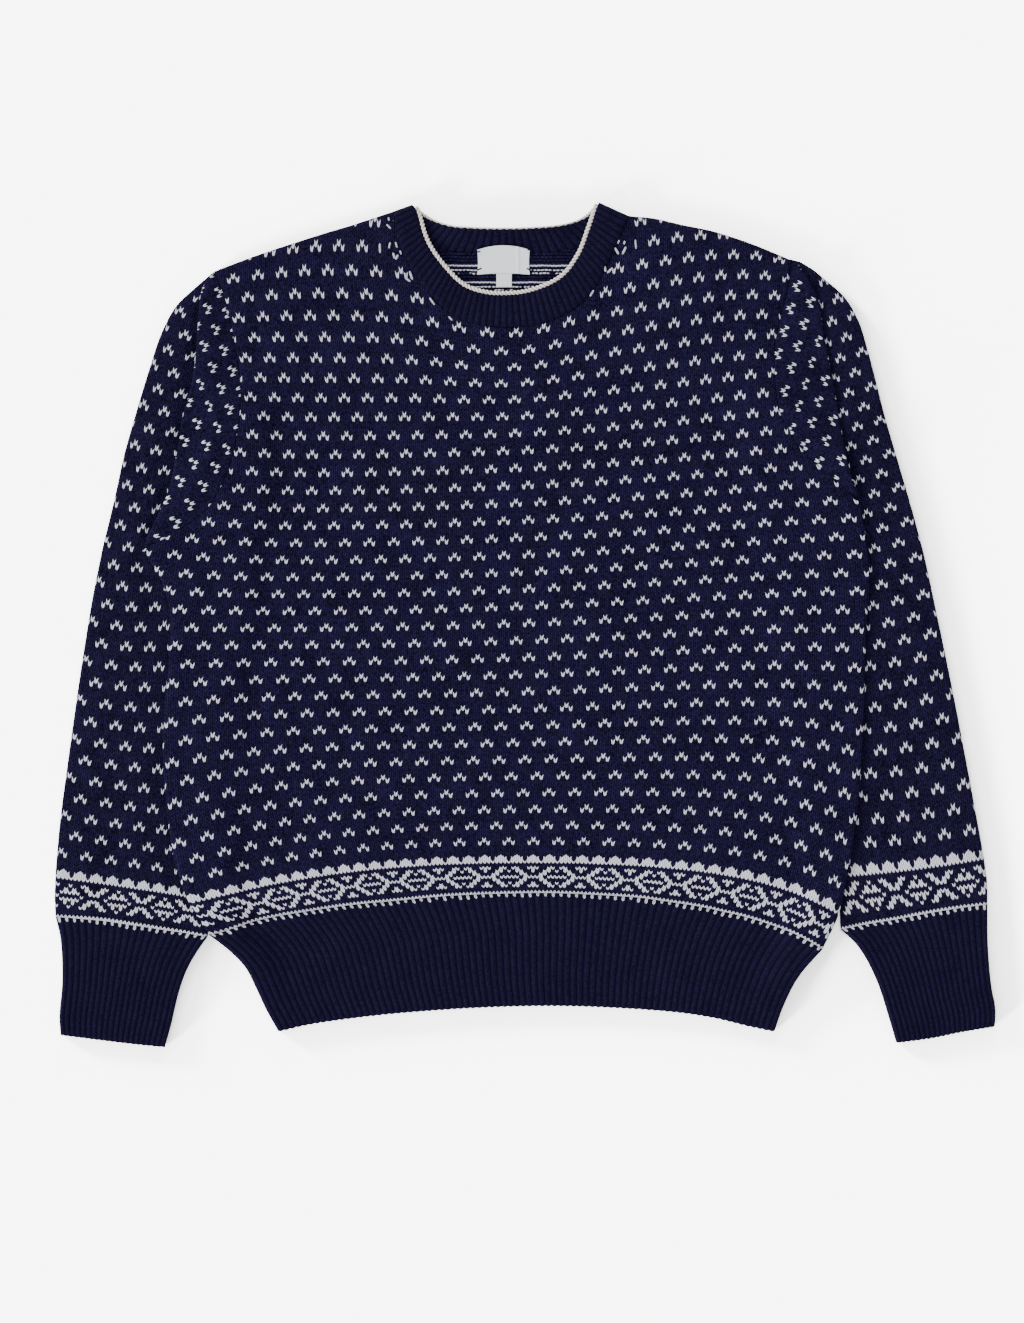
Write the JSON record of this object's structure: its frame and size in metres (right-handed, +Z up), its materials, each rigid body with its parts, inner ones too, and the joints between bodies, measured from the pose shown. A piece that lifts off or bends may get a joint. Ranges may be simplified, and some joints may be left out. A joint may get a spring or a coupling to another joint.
{
  "type": "crewneck sweater",
  "caption": "Long-sleeved crewneck sweater in stranded navy and white knit, laid flat with its front up, with ribbed neckband, cuffs and hem and a tipped neck edge.",
  "frame": {"origin": "middle of the laid-out garment's outline, on the surface it lies on", "axes": "+Z up from the surface, +Y from hem to neck, +X across the garment from the sleeve at the viewer's left to the one at the viewer's right"},
  "size_m": [0.7906, 0.7108, 0.0146],
  "materials": {
    "stranded_knit": "soft brushed wool, two-colour stranded knit, navy with small white marks",
    "navy_rib": "matte wool rib",
    "cream_tipping": "matte wool cord edge",
    "label_satin": "smooth woven satin"
  },
  "bodies": {
    "root": {"front": "stranded_knit", "back": "stranded_knit", "sleeve_left": "stranded_knit", "sleeve_right": "stranded_knit", "cuff_left": "navy_rib", "cuff_right": "navy_rib", "hem_rib_front": "navy_rib", "hem_rib_back": "navy_rib", "neckband_front": "navy_rib", "neckband_back": "navy_rib", "neck_tipping": "cream_tipping", "neck_label": "label_satin", "size_tab": "label_satin"}
  },
  "joints": []
}
